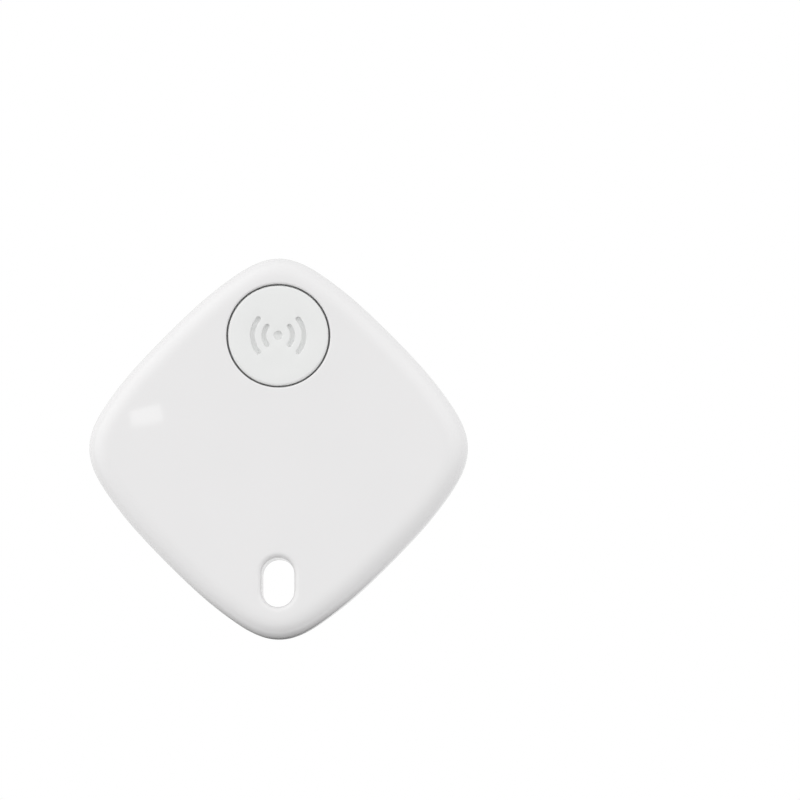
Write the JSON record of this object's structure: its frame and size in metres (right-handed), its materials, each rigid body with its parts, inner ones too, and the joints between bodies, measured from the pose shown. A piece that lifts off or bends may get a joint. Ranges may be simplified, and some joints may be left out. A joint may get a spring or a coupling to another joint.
{
  "type": "bluetooth tracker tag",
  "caption": "Rounded-diamond key finder tag: glossy shell, round push button at one corner, key-ring slot at the other, snap-off battery cover, board, sounder and coin cell.",
  "frame": {"origin": "middle of the flat rear face, which the tag lies on", "axes": "+Z out of the front face, +Y towards the push button's corner, +X to the right when the front is looked at with the button up"},
  "size_m": [0.0464, 0.0466, 0.0099],
  "materials": {
    "shell": "glossy white moulded plastic",
    "button": "satin white moulded plastic",
    "board": "green solder mask on glass-fibre laminate",
    "package": "black moulded package",
    "crystal_can": "plated steel can",
    "antenna_ceramic": "white ceramic with plated ends",
    "capacitor_ceramic": "tan ceramic with tinned ends",
    "ferrite": "dark ferrite composite",
    "led": "diffusing resin over a white body",
    "switch_base": "black moulded switch base",
    "steel_sheet": "stamped stainless sheet",
    "sounder_tape": "grey adhesive foam ring",
    "sounder_brass": "rolled brass disc",
    "sounder_ceramic": "silvered ceramic disc",
    "spring_bronze": "formed spring bronze",
    "tray": "black moulded tray",
    "screw_steel": "bright machine screw",
    "foam": "closed-cell foam",
    "cell_steel": "bright plated can",
    "cell_gasket": "dark sealing ring",
    "cell_nickel": "satin nickel cap"
  },
  "bodies": {
    "cover": {"rear_cover": "shell", "cell_pad": "foam"},
    "housing": {"front_shell": "shell", "main_board": "board", "bluetooth_chip": "package", "main_crystal": "crystal_can", "clock_crystal": "crystal_can", "chip_antenna": "antenna_ceramic", "antenna_matching_inductor": "antenna_ceramic", "boost_inductor": "ferrite", "sounder_driver": "package", "bulk_capacitor": "capacitor_ceramic", "supply_capacitor": "capacitor_ceramic", "crystal_capacitor_upper": "capacitor_ceramic", "crystal_capacitor_lower": "capacitor_ceramic", "led_resistor": "package", "status_led": "led", "switch_base": "switch_base", "switch_dome": "steel_sheet", "switch_plate": "steel_sheet", "sounder_tape": "sounder_tape", "sounder_plate": "sounder_brass", "sounder_ceramic": "sounder_ceramic", "sounder_spring_middle": "spring_bronze", "sounder_spring_rim": "spring_bronze", "negative_contact": "spring_bronze", "positive_contact": "spring_bronze", "battery_tray": "tray", "tray_screw_left": "screw_steel", "tray_screw_right": "screw_steel"},
    "button": {"button_cap": "button", "switch_plunger": "switch_base"},
    "cell": {"cell_can": "cell_steel", "cell_gasket": "cell_gasket", "cell_cap": "cell_nickel"}
  },
  "joints": [
    {"name": "button_press", "type": "slide", "parent": "housing", "child": "button", "axis": [0, 0, -1], "range_m": [0, 0.0002], "stiffness_N_per_m": 8000, "deforming": ["switch_dome"]},
    {"name": "case_open", "type": "slide", "parent": "cover", "child": "housing", "axis": [0, 0, 1], "range_m": [0, 0.014]},
    {"name": "cell_lift", "type": "slide", "parent": "cover", "child": "cell", "axis": [0, 0, 1], "range_m": [0, 0.007]}
  ],
  "couplings": [
    {"joint": "cell_lift", "follows": "case_open", "ratio": 0.5}
  ]
}
